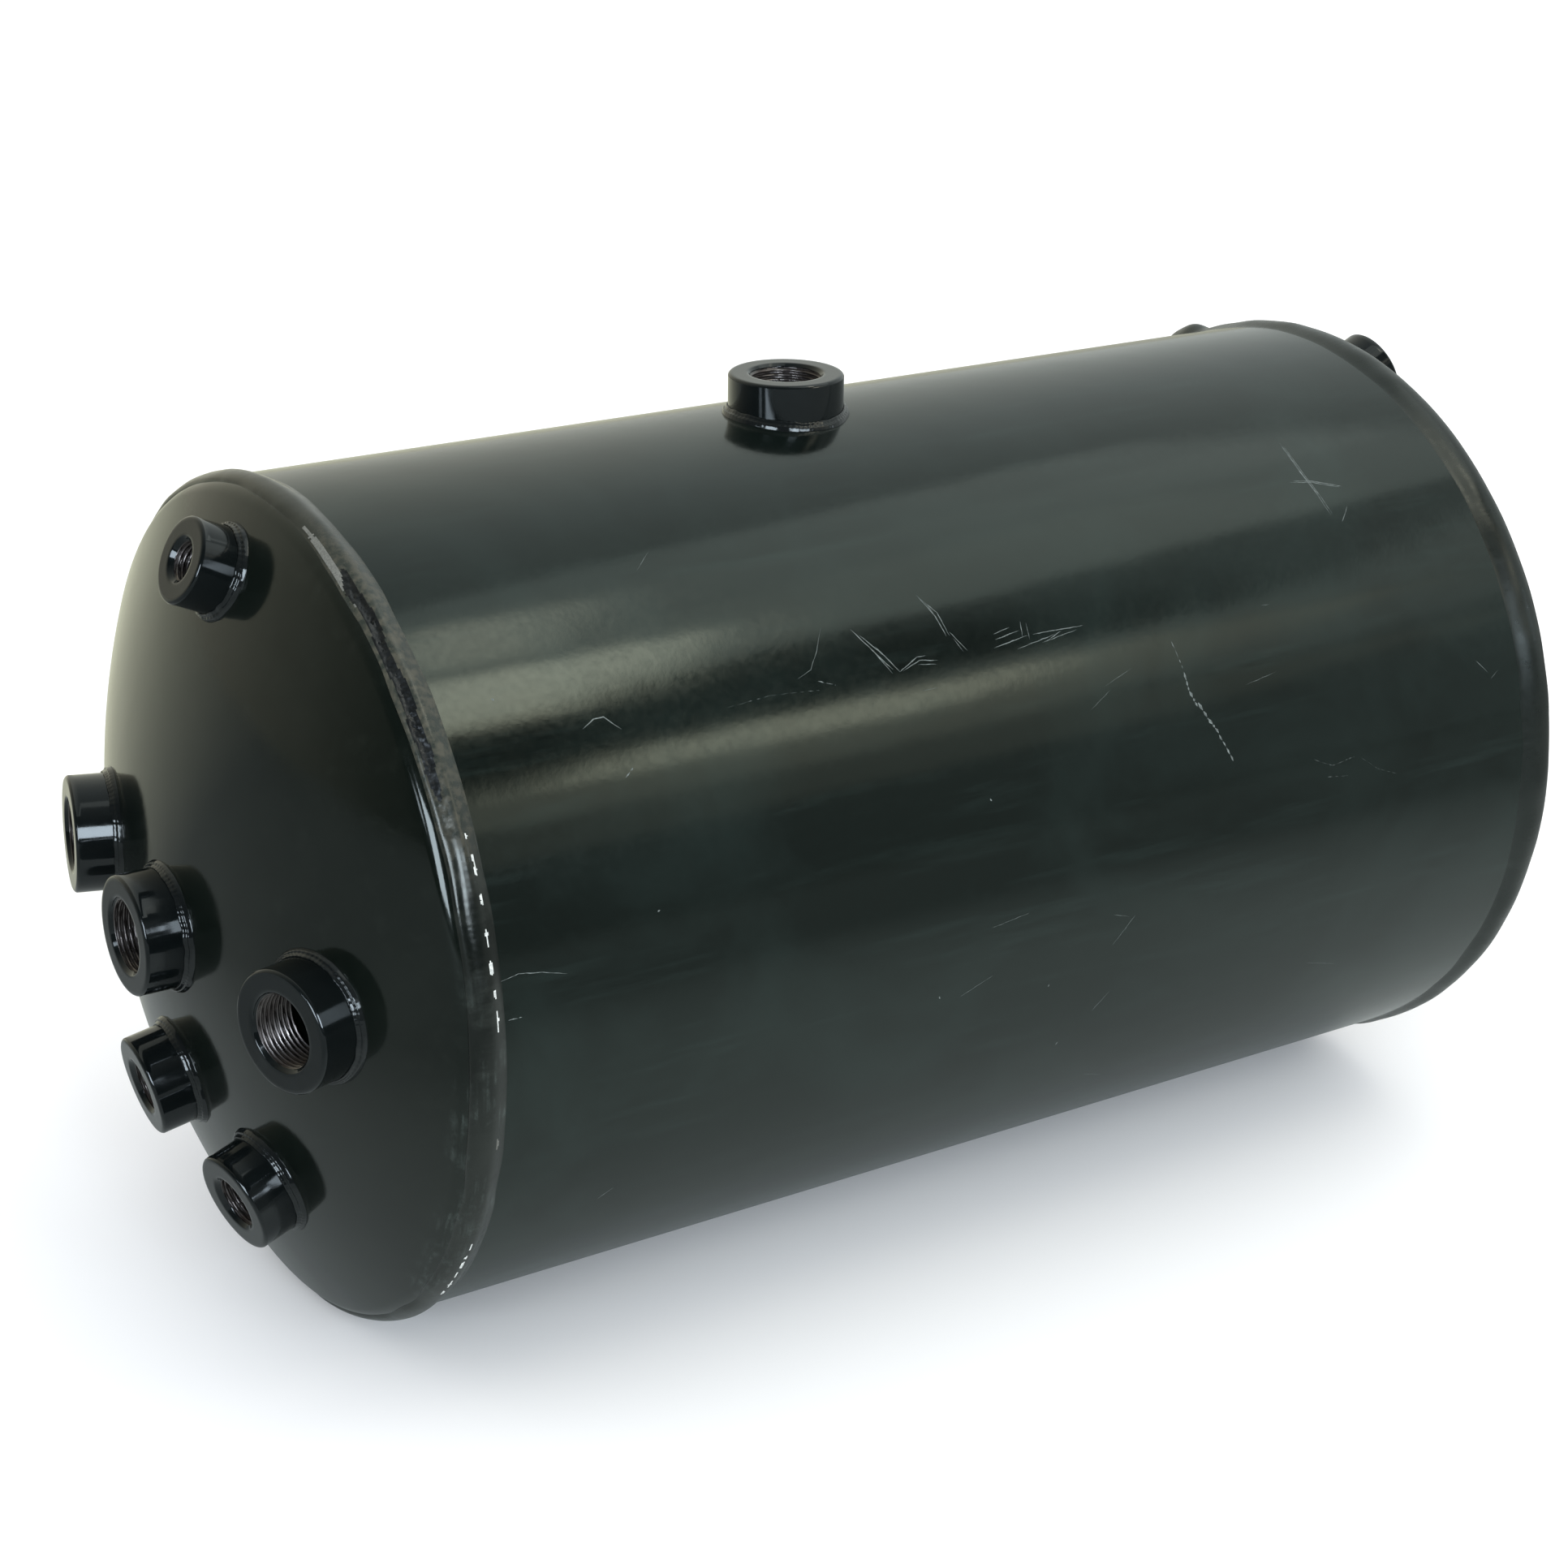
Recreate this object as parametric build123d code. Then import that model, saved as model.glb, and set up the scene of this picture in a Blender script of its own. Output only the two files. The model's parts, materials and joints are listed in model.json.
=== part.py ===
from build123d import *
from math import asin, cos, radians, sin, sqrt
import os

# Welded steel air reservoir with threaded weld bosses.
# Millimetres. The tank's axis lies along X, the six-port head is at -X, and +Z is the way the
# port on the shell points. The origin is on the axis, midway between the two girth welds.

# --- driving dimensions -----------------------------------------------------------------------
shell_radius = 123.0
wall = 3.0
girth_x = 188.2            # middle of each girth weld
root_gap = 1.6             # gap between the edges that a weld joins
girth_bead_width = 10.0
girth_bead_height = 2.4

knuckle_start_x = 189.7    # where the head's skirt turns into its knuckle
knuckle_radius = 7.0
crown_radius = 246.0

seam_angle = 125.0         # from +Z towards +Y, on the hidden side
seam_bead_width = 8.0
seam_bead_height = 1.2

boss_height = 12.5         # face above the surface, on the boss's own axis
boss_embed = 3.0           # extra length below the surface, trimmed to it
edge_chamfer = 0.8
weld_leg = 2.0             # how far a boss's weld ring reaches out over the surface
weld_rise = 2.2            # how far it climbs the boss
weld_embed = 3.0
pilot_clearance = 0.5      # the hole in the wall is this much larger in radius than the bore

# Boss sizes: outside radius, bore radius (the thread's tapping hole) and mouth radius.
LARGE = {"outer": 17.5, "bore": 10.25, "mouth": 11.5}    # M22 x 1.5
MEDIUM = {"outer": 15.0, "bore": 7.25, "mouth": 8.75}    # M16 x 1.5
SMALL = {"outer": 12.5, "bore": 5.25, "mouth": 6.8}      # M12 x 1.5

# Places of the bosses on each head: (y, z) of the boss's axis where it meets the dome.
NEAR_BOSSES = {
    "near_centre": (LARGE, 0.0, 0.0),
    "near_side": (LARGE, -75.0, 0.0),
    "near_back": (LARGE, 57.5, 7.5),
    "near_bottom": (MEDIUM, 9.5, -50.7),
    "near_low": (MEDIUM, -35.8, -67.8),
    "near_top": (SMALL, 0.0, 102.0),
}
FAR_BOSSES = {
    "far_top": (SMALL, -4.0, 104.0),
}
SHELL_BOSS_X = -20.4
SHELL_BOSS_HEIGHT = 12.0

# --- values that follow from them -------------------------------------------------------------
shell_end_x = girth_x - root_gap / 2
head_edge_x = girth_x + root_gap / 2
crown_centre_x = knuckle_start_x - sqrt(
    (crown_radius - knuckle_radius) ** 2 - (shell_radius - knuckle_radius) ** 2
)
apex_x = crown_centre_x + crown_radius
tangent_angle = asin((shell_radius - knuckle_radius) / (crown_radius - knuckle_radius))
quarter_turn = radians(90)


def on_crown(angle, inset):
    """Point of the crown arc, at an angle from the axis and inset from the outer surface."""
    radius = crown_radius - inset
    return (crown_centre_x + radius * cos(angle), radius * sin(angle))


def on_knuckle(angle, inset):
    """Point of the knuckle arc, at an angle from the axis and inset from the outer surface."""
    radius = knuckle_radius - inset
    centre_r = shell_radius - knuckle_radius
    return (knuckle_start_x + radius * cos(angle), centre_r + radius * sin(angle))


def dome_edges(inset):
    """Skirt, knuckle and crown of one surface of the head, from the open edge to the apex."""
    middle_of_knuckle = (tangent_angle + quarter_turn) / 2
    skirt = Line((head_edge_x, shell_radius - inset), on_knuckle(quarter_turn, inset))
    knuckle = ThreePointArc(
        on_knuckle(quarter_turn, inset),
        on_knuckle(middle_of_knuckle, inset),
        on_knuckle(tangent_angle, inset),
    )
    crown = ThreePointArc(
        on_crown(tangent_angle, inset),
        on_crown(tangent_angle / 2, inset),
        on_crown(0, inset),
    )
    return [skirt, knuckle, crown]


def head_section():
    """Half section of the dished head, in the plane of the axis."""
    rim = Line((head_edge_x, shell_radius), (head_edge_x, shell_radius - wall))
    middle = Line(on_crown(0, 0), on_crown(0, wall))
    return make_face([*dome_edges(0), middle, *dome_edges(wall), rim])


def shell_section():
    """Half section of the shell's end, long enough to carry the girth weld."""
    width = girth_bead_width
    centre = (shell_end_x - width / 2, shell_radius - wall / 2)
    return Pos(*centre) * Rectangle(width, wall)


def girth_weld():
    """Bead over the gap between shell and head, with its root filling the gap."""
    half = girth_bead_width / 2
    outer_toe = (girth_x + half, shell_radius - 3.0)
    inner_toe = (girth_x - half, shell_radius)
    crest = (girth_x, shell_radius + girth_bead_height)
    surface_toe = (girth_x + half, shell_radius - 0.9)
    root = shell_radius - wall
    outline = make_face(
        [
            ThreePointArc(inner_toe, crest, surface_toe),
            Line(surface_toe, outer_toe),
            Line(outer_toe, (head_edge_x, root)),
            Line((head_edge_x, root), (shell_end_x, root)),
            Line((shell_end_x, root), inner_toe),
        ]
    )
    bead = outline - head_section() - shell_section()
    return revolve(bead, Axis.X)


def seam_slit(length):
    """Bar that stands in the gap between the rolled sheet's two edges."""
    bar = Pos(0, 0, shell_radius) * Box(length, root_gap, 4 * wall)
    return Rot(-seam_angle, 0, 0) * bar


def tube(length):
    """Plain ring of the shell's section, along the tank's axis."""
    ring = Circle(shell_radius) - Circle(shell_radius - wall)
    along_x = Plane.YZ.offset(-length / 2)
    return extrude(along_x * ring, length)


def seam_weld():
    """Low bead along the shell, with its root filling the gap to the very ends."""
    cap_length = 2 * (girth_x - girth_bead_width / 2)
    half = seam_bead_width / 2
    foot = sqrt(shell_radius**2 - half**2)
    base = shell_radius - 1.0
    outline = make_face(
        [
            ThreePointArc((-half, foot), (0, shell_radius + seam_bead_height), (half, foot)),
            Line((half, foot), (half, base)),
            Line((half, base), (-half, base)),
            Line((-half, base), (-half, foot)),
        ]
    )
    cap_plane = Plane((-cap_length / 2, 0, 0), x_dir=(0, 1, 0), z_dir=(1, 0, 0))
    cap = extrude(cap_plane * outline, cap_length)
    core = Rot(0, 90, 0) * Cylinder(shell_radius, 2 * cap_length)
    cap = Rot(-seam_angle, 0, 0) * (cap - core)
    root = tube(2 * shell_end_x) & seam_slit(3 * shell_end_x)
    return cap + root


def head_seat(y, z, side):
    """Plane on a head's outer surface, its z pointing out along the dome's normal."""
    distance = sqrt(crown_radius**2 - y**2 - z**2)
    centre = Vector(side * crown_centre_x, 0, 0)
    point = Vector(side * (crown_centre_x + distance), y, z)
    return Plane(point, z_dir=point - centre)


def boss(size, height):
    """Turned boss, standing on the XY plane and reaching below it, with its mouth chamfered."""
    length = height + boss_embed
    body = Pos(0, 0, height - length / 2) * Cylinder(size["outer"], length)
    body = chamfer(body.edges().sort_by(Axis.Z)[-1], edge_chamfer)
    body -= Pos(0, 0, height - length / 2) * Cylinder(size["bore"], length)
    mouth_depth = size["mouth"] - size["bore"]
    mouth = Cone(size["bore"], size["mouth"], mouth_depth)
    return body - Pos(0, 0, height - mouth_depth / 2) * mouth


def weld_ring(size):
    """Convex fillet weld round a boss's foot, reaching below the XY plane."""
    inner = size["outer"]
    toe = inner + weld_leg
    bulge = (inner + 0.68 * weld_leg, 0.68 * weld_rise)
    outline = make_face(
        [
            Line((inner, -weld_embed), (toe, -weld_embed)),
            Line((toe, -weld_embed), (toe, 0)),
            ThreePointArc((toe, 0), bulge, (inner, weld_rise)),
            Line((inner, weld_rise), (inner, -weld_embed)),
        ]
    )
    return revolve(Plane.XZ * outline, Axis.Z)


def pilot_hole(size):
    """Drill for the hole in the wall below a boss."""
    return Cylinder(size["bore"] + pilot_clearance, 8 * wall)


def save(name, shape):
    """Write one node."""
    shape.label = name
    export_step(shape, f"parts/{name}.step")


# --- the pieces -------------------------------------------------------------------------------
os.makedirs("parts", exist_ok=True)

far_head = revolve(head_section(), Axis.X)
near_head = mirror(far_head, Plane.YZ)
heads = {"near": (near_head, -1, NEAR_BOSSES), "far": (far_head, 1, FAR_BOSSES)}

for end, (head, side, bosses) in heads.items():
    dome = Pos(side * crown_centre_x, 0, 0) * Sphere(crown_radius)
    for place, (size, y, z) in bosses.items():
        seat = head_seat(y, z, side).location
        head -= seat * pilot_hole(size)
        save(f"boss_{place}", seat * boss(size, boss_height) - dome)
        save(f"weld_ring_{place}", seat * weld_ring(size) - dome)
    save(f"{end}_head", head)

shell_surface = Rot(0, 90, 0) * Cylinder(shell_radius, 2 * shell_end_x)
top_seat = Pos(SHELL_BOSS_X, 0, shell_radius)
shell = tube(2 * shell_end_x) - seam_slit(3 * shell_end_x) - top_seat * pilot_hole(LARGE)
save("shell", shell)
save("seam_weld", seam_weld())
save("boss_shell_top", top_seat * boss(LARGE, SHELL_BOSS_HEIGHT) - shell_surface)
save("weld_ring_shell_top", top_seat * weld_ring(LARGE) - shell_surface)

far_weld = girth_weld()
save("far_girth_weld", far_weld)
save("near_girth_weld", mirror(far_weld, Plane.YZ))
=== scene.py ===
import json
import random
from math import asin, cos, hypot, pi, radians, sin, sqrt, tau

import bmesh
import bpy
import numpy as np
from mathutils import Matrix, Vector


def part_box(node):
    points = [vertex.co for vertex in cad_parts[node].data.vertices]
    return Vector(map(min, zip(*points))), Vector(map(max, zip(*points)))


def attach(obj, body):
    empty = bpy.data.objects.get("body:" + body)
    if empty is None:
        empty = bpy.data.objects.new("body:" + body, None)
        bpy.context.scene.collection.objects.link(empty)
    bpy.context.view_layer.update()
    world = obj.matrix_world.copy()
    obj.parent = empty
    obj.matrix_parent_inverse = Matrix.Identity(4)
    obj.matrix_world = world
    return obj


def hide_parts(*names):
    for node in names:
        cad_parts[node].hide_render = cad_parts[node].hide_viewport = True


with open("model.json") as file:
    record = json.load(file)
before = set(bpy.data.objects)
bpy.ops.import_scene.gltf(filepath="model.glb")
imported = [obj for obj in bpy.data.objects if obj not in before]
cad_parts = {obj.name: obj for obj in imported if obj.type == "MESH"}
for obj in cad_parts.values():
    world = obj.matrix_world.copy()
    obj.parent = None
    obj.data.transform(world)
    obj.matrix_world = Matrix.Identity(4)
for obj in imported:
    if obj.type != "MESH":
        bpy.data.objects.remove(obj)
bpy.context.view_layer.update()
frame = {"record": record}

# Looks of a welded steel air reservoir, black painted: shell, dished heads, rippled weld beads,
# and threaded bosses. Metres, in the CAD frame: the tank's axis lies along X, the six-port head
# is at -X, and +Z points the way the shell's port does.

MM = 0.001
rng = random.Random(11)

# --- sizes, from the frame --------------------------------------------------------------------
SHELL_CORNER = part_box("shell")[1]
RADIUS = round(SHELL_CORNER.z, 5)
HALF_SHELL = SHELL_CORNER.x
HEAD_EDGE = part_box("far_head")[0].x
GIRTH_X = (HALF_SHELL + HEAD_EDGE) / 2
FLOOR_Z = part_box("far_girth_weld")[0].z

WALL = 3 * MM
SKIRT = 0.7 * MM                  # straight part of a head, before its knuckle
KNUCKLE = 7 * MM
CROWN = 2 * RADIUS
KNUCKLE_START = HEAD_EDGE + SKIRT
KNUCKLE_CENTRE_R = RADIUS - KNUCKLE
CROWN_CENTRE = KNUCKLE_START - sqrt((CROWN - KNUCKLE) ** 2 - KNUCKLE_CENTRE_R**2)
TANGENT_ANGLE = asin(KNUCKLE_CENTRE_R / (CROWN - KNUCKLE))

BEAD_HALF_WIDTH = 5 * MM
BEAD_RIPPLE_PITCH = 1.9 * MM
HEAD_SIDE_DROP = 0.9 * MM         # the bead's toe on the head lies lower than on the shell
LUMP_HEIGHT = 3.8 * MM            # where a bead starts and stops
LUMP_HALF_ANGLE = 4.0             # degrees
SEAM_ANGLE = -125                 # degrees from +Z towards -Y, so on the hidden side
SEAM_HALF_WIDTH = 4 * MM
SEAM_HEIGHT = 1.05 * MM
SEAM_RIPPLE_PITCH = 1.7 * MM
THREAD_PITCH = 1.5 * MM
THREAD_DEPTH = 0.75 * MM

# Outside and mouth radius of a boss, by the radius of its bore in the record, in mm.
BOSS_SIZES = {
    10.25: (17.5 * MM, 11.5 * MM),
    7.25: (15.0 * MM, 8.75 * MM),
    5.25: (12.5 * MM, 6.8 * MM),
}
BOSS_HEIGHT = 12.5 * MM
SHELL_BOSS_HEIGHT = 12.0 * MM
EDGE_CHAMFER = 0.8 * MM
EDGE_BULGE = 0.0875 * MM          # rounds the chamfer
RING_LEG = 2.0 * MM
RING_RISE = 2.4 * MM
RING_RIPPLE_PITCH = 1.5 * MM
PILOT_CLEARANCE = 0.5 * MM
BOSS_SUNK = 0.3 * MM              # how far a boss's foot goes below the surface
RING_SUNK = 1.2 * MM
RING_OVERLAP = 0.2 * MM           # how far a weld ring goes into its boss

SHARP_ANGLE = 35                  # degrees, above which an edge is shaded sharp

# Slots of the girth beads' materials.
BRIGHT_SPOT = 1
SPATTER_AND_SHADE = 2
# The dull slot holds rubbed steel and, from 13 to 50 degrees, a painted highlight strip.
DULL_WEAR_AND_HIGHLIGHT_SPOT = 3


# --- mesh helpers -----------------------------------------------------------------------------
def finished(mesh, name, materials, sharp_angle=SHARP_ANGLE):
    """Object made from a mesh, smooth shaded, with its normals pointing out."""
    work = bmesh.new()
    work.from_mesh(mesh)
    bmesh.ops.recalc_face_normals(work, faces=work.faces)
    work.to_mesh(mesh)
    work.free()
    for material in materials:
        mesh.materials.append(material)
    mesh.shade_smooth()
    mesh.set_sharp_from_angle(angle=radians(sharp_angle))
    made = bpy.data.objects.new(name, mesh)
    bpy.context.scene.collection.objects.link(made)
    return made


def mesh_from_rings(name, rings, poles=None, row_materials=None):
    """Closed skin over rings of points, an array of rings by points by 3.

    Without poles the last ring joins the first. With poles, two points, each end is closed
    onto its own pole.
    """
    count, around = rings.shape[:2]
    points = rings.reshape(-1, 3)
    faces = []
    owners = []
    rows = range(count) if poles is None else range(count - 1)
    for row in rows:
        following = (row + 1) % count
        for column in range(around):
            beside = (column + 1) % around
            faces.append(
                (
                    row * around + column,
                    row * around + beside,
                    following * around + beside,
                    following * around + column,
                )
            )
            owners.append(row)
    if poles is not None:
        first = len(points)
        points = np.vstack([points, np.array(poles)])
        last_row = (count - 1) * around
        for column in range(around):
            beside = (column + 1) % around
            faces.append((first, beside, column))
            owners.append(0)
            faces.append((first + 1, last_row + column, last_row + beside))
            owners.append(count - 1)
    mesh = bpy.data.meshes.new(name)
    mesh.from_pydata(points.tolist(), [], faces)
    if row_materials is not None:
        mesh.polygons.foreach_set("material_index", [row_materials[row] for row in owners])
    return mesh


def rings_about_x(x, radius, turn):
    """Points about the X axis, the turn going from +Z towards -Y."""
    return np.stack([x, -radius * np.sin(turn), radius * np.cos(turn)], axis=-1)


def turned_rings(profile, segments):
    """Rings about the X axis, from a profile of (x, radius)."""
    turn = np.linspace(0, tau, segments, endpoint=False)
    x = np.array([p[0] for p in profile])[:, None]
    r = np.array([p[1] for p in profile])[:, None]
    return rings_about_x(x + 0 * turn, r, turn)


def ring_about_z(radius, height, turn):
    """Points about the Z axis, at a radius and height that may vary with the turn."""
    x = radius * np.cos(turn)
    y = radius * np.sin(turn)
    return np.stack([x, y, height + 0 * x], axis=-1)


def placed(rings, frame_matrix):
    """Rings moved from a boss's own frame to the tank's."""
    turn = np.array(frame_matrix.to_3x3())
    return rings @ turn.T + np.array(frame_matrix.translation)


def arc(centre, radius, start, end, steps):
    """Points of an arc, as (x, radius) pairs, angles measured from the X axis."""
    angles = np.linspace(start, end, steps)
    return [(centre[0] + radius * cos(a), centre[1] + radius * sin(a)) for a in angles]


def drill(target, cutters):
    """Cuts holes in an object and removes the cutters."""
    for cutter in cutters:
        hole = target.modifiers.new("hole", "BOOLEAN")
        hole.operation = "DIFFERENCE"
        hole.solver = "EXACT"
        hole.object = cutter
    bpy.context.view_layer.update()
    evaluated = target.evaluated_get(bpy.context.evaluated_depsgraph_get())
    cut = bpy.data.meshes.new_from_object(evaluated)
    target.modifiers.clear()
    target.data = cut
    cut.set_sharp_from_angle(angle=radians(SHARP_ANGLE))
    for cutter in cutters:
        bpy.data.objects.remove(cutter)


def show(piece, slot, *nodes):
    """Says what a piece rides on and stands for. Its slot, the finish, is not used."""
    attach(piece, "root")
    if nodes:
        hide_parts(*nodes)


# --- materials --------------------------------------------------------------------------------
def add_node(tree, kind, inputs=None, **settings):
    """Adds a node, sets its properties, and fills or links its inputs."""
    made = tree.nodes.new(kind)
    for name, value in settings.items():
        setattr(made, name, value)
    for socket, value in (inputs or {}).items():
        if isinstance(value, bpy.types.NodeSocket):
            tree.links.new(value, made.inputs[socket])
        else:
            made.inputs[socket].default_value = value
    return made


def new_material(name):
    """Empty node material, its tree and its main shader."""
    material = bpy.data.materials.new(name)
    material.use_nodes = True
    tree = material.node_tree
    return material, tree, tree.nodes["Principled BSDF"]


def noise(tree, place, scale, detail=3.0, roughness=0.55, distortion=0.0):
    """Noise factor at a scale in features per metre."""
    inputs = {
        "Vector": place,
        "Scale": scale,
        "Detail": detail,
        "Roughness": roughness,
        "Distortion": distortion,
    }
    return add_node(tree, "ShaderNodeTexNoise", inputs).outputs["Fac"]


def spread(tree, value, low, high, to_low, to_high):
    """Maps a range of values onto another one."""
    inputs = {
        "Value": value,
        "From Min": low,
        "From Max": high,
        "To Min": to_low,
        "To Max": to_high,
    }
    return add_node(tree, "ShaderNodeMapRange", inputs).outputs["Result"]


def mask(tree, value, low, high):
    """Share from 0 to 1 over a range of values."""
    return spread(tree, value, low, high, 0.0, 1.0)


def blend_colours(tree, factor, first, second):
    """Mix of two colours."""
    made = add_node(tree, "ShaderNodeMix", data_type="RGBA")
    tree.links.new(factor, made.inputs[0])
    for socket, colour in ((made.inputs[6], first), (made.inputs[7], second)):
        if isinstance(colour, bpy.types.NodeSocket):
            tree.links.new(colour, socket)
        else:
            socket.default_value = (*colour, 1)
    return made.outputs[2]


def combine(tree, operation, first, second):
    """Arithmetic on two values."""
    return add_node(tree, "ShaderNodeMath", {0: first, 1: second}, operation=operation).outputs[0]


def bumps(tree, layers):
    """Chain of bump nodes from (height, depth in metres) pairs."""
    normal = None
    for height, depth in layers:
        inputs = {"Height": height, "Distance": depth, "Strength": 1.0}
        if normal is not None:
            inputs["Normal"] = normal
        normal = add_node(tree, "ShaderNodeBump", inputs).outputs["Normal"]
    return normal


def stretched(tree, place, scale):
    """Coordinates scaled by axis, so that noise on them is drawn out."""
    inputs = {"Vector": place, "Scale": scale}
    return add_node(tree, "ShaderNodeMapping", inputs).outputs["Vector"]


def dot_with(tree, vector, direction):
    """Length of a vector along a direction."""
    return add_node(
        tree, "ShaderNodeVectorMath", {0: vector, 1: direction}, operation="DOT_PRODUCT"
    ).outputs["Value"]


RUBBED_SIDE = (0, -0.80, -0.60)
RUBBED_COLOUR = (0.034, 0.044, 0.040)
# Painted highlight on the near bead: the side of the rim it lies on, its lighter colours, and the
# roughness added there.
HIGHLIGHT_SIDE = (0, -0.64, 0.77)
PAINTED_HIGHLIGHT_COLOURS = ((0.018, 0.022, 0.018), (0.048, 0.046, 0.034))
DULL_ROUGHNESS = 0.12             # added to the paint's own
PAINT_IOR = 1.52
SHEET_WAVE = 0.20 * MM            # slow waves of the rolled and pressed sheet


def rim_rub(tree, place):
    """Mask of the dusty marks where the tank's rim was rolled over a floor: near the full
    radius only, on the side away from +Z, in patches and short strokes."""
    across = stretched(tree, place, (0, 1, 1))
    length = add_node(tree, "ShaderNodeVectorMath", {0: across}, operation="LENGTH")
    near_rim = mask(tree, length.outputs["Value"], RADIUS - 7 * MM, RADIUS - 2 * MM)
    low_side = mask(tree, dot_with(tree, place, RUBBED_SIDE), 0.070, 0.105)
    patches = mask(tree, noise(tree, place, 110, detail=5, roughness=0.7), 0.50, 0.72)
    strokes = noise(tree, stretched(tree, place, (900, 220, 40)), 1, detail=3)
    marks = combine(tree, "MULTIPLY", patches, mask(tree, strokes, 0.42, 0.64))
    return combine(tree, "MULTIPLY", combine(tree, "MULTIPLY", near_rim, low_side), marks)


def painted_highlight_band(tree, place):
    """Mask of the rim's upper part on the side of -Y, where the weld bead takes a painted highlight: a
    lighter, mottled colour where the lights' band falls, and duller paint.
    """
    return mask(tree, dot_with(tree, place, HIGHLIGHT_SIDE), 0.108, 0.122)


def black_paint(name, base, dusty, roughnesses, peel, haze, tint, rubbed=False, painted_highlight=False):
    """Sprayed black paint: base and dusty colours, lowest and highest roughness, the depth of its
    orange peel, how much haze lies on it, the tint of its reflections, and whether the rim's
    rubbed marks and the painted highlight on its upper front, lighter and duller, are on it."""
    material, tree, shader = new_material(name)
    place = add_node(tree, "ShaderNodeTexCoord").outputs["Object"]
    cloud = noise(tree, place, 14, detail=5, roughness=0.6, distortion=0.6)
    fine = noise(tree, place, 420, detail=4)
    wiped = noise(tree, stretched(tree, place, (14, 160, 160)), 1, detail=4, roughness=0.65)
    specks = noise(tree, place, 1500, detail=1)

    patches = spread(tree, cloud, 0.45, 0.75, 0.0, haze)
    wipes = spread(tree, wiped, 0.52, 0.8, 0.0, haze)
    dust = spread(tree, specks, 0.76, 0.82, 0.0, haze)
    film = combine(tree, "ADD", combine(tree, "MAXIMUM", patches, wipes), dust)
    colour = blend_colours(tree, film, base, dusty)
    if rubbed:
        colour = blend_colours(tree, rim_rub(tree, place), colour, RUBBED_COLOUR)
    uneven = combine(tree, "MULTIPLY", fine, combine(tree, "ADD", cloud, wiped))
    roughness = spread(tree, uneven, 0.3, 0.75, *roughnesses)
    # Painted highlight: the rim's upper part on the side of -Y is made lighter and mottled, and
    # rougher.
    if painted_highlight:
        highlight_mask = painted_highlight_band(tree, place)
        highlight_colour = blend_colours(tree, mask(tree, fine, 0.42, 0.62), *PAINTED_HIGHLIGHT_COLOURS)
        colour = blend_colours(tree, highlight_mask, colour, highlight_colour)
        added = combine(tree, "MULTIPLY", highlight_mask, DULL_ROUGHNESS)
        roughness = combine(tree, "ADD", roughness, added)
    tree.links.new(colour, shader.inputs["Base Color"])
    tree.links.new(roughness, shader.inputs["Roughness"])

    orange_peel = noise(tree, place, 520, detail=2, roughness=0.5)
    waves = noise(tree, place, 22, detail=2)
    layers = [(waves, SHEET_WAVE), (orange_peel, peel)]
    tree.links.new(bumps(tree, layers), shader.inputs["Normal"])
    shader.inputs["IOR"].default_value = PAINT_IOR
    shader.inputs["Specular Tint"].default_value = (*tint, 1)
    return material


def thread_metal():
    """Machined steel of a thread, oiled and a little browned, with fine tool marks."""
    clean, browned = (0.24, 0.225, 0.22), (0.10, 0.085, 0.08)
    material, tree, shader = new_material("thread_steel")
    place = add_node(tree, "ShaderNodeTexCoord").outputs["Object"]
    stains = noise(tree, place, 160, detail=4, roughness=0.6)
    tool = noise(tree, place, 2600, detail=2)
    colour = blend_colours(tree, mask(tree, stains, 0.35, 0.7), clean, browned)
    tree.links.new(colour, shader.inputs["Base Color"])
    tree.links.new(spread(tree, stains, 0.3, 0.7, 0.24, 0.42), shader.inputs["Roughness"])
    tree.links.new(bumps(tree, [(tool, 0.02 * MM)]), shader.inputs["Normal"])
    shader.inputs["Metallic"].default_value = 1.0
    return material


def worn_metal(name, dark, light):
    """Steel where the paint is rubbed through."""
    material, tree, shader = new_material(name)
    place = add_node(tree, "ShaderNodeTexCoord").outputs["Object"]
    grain = noise(tree, place, 1900, detail=3)
    colour = blend_colours(tree, mask(tree, grain, 0.35, 0.65), dark, light)
    tree.links.new(colour, shader.inputs["Base Color"])
    tree.links.new(spread(tree, grain, 0.3, 0.7, 0.35, 0.6), shader.inputs["Roughness"])
    tree.links.new(bumps(tree, [(grain, 0.03 * MM)]), shader.inputs["Normal"])
    shader.inputs["Metallic"].default_value = 0.25
    return material


def scuffed_paint():
    """Chalky grey of a scratch in black paint."""
    dark, light = (0.045, 0.055, 0.052), (0.15, 0.175, 0.168)
    material, tree, shader = new_material("scuffed_paint")
    place = add_node(tree, "ShaderNodeTexCoord").outputs["Object"]
    grain = noise(tree, place, 900, detail=4, roughness=0.7)
    colour = blend_colours(tree, mask(tree, grain, 0.35, 0.65), dark, light)
    tree.links.new(colour, shader.inputs["Base Color"])
    tree.links.new(spread(tree, grain, 0.3, 0.7, 0.5, 0.75), shader.inputs["Roughness"])
    tree.links.new(bumps(tree, [(grain, 0.02 * MM)]), shader.inputs["Normal"])
    return material


SHELL_PAINT = black_paint(
    "shell_black", base=(0.0022, 0.0036, 0.0030), dusty=(0.012, 0.020, 0.018),
    roughnesses=(0.11, 0.17), peel=0.010 * MM, haze=0.42, tint=(0.85, 1.0, 0.94),
)
HEAD_PAINT = black_paint(
    "head_black", base=(0.0024, 0.0038, 0.0030), dusty=(0.013, 0.016, 0.013),
    roughnesses=(0.09, 0.14), peel=0.008 * MM, haze=0.25, tint=(0.94, 1.0, 0.97), rubbed=True,
)
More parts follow.
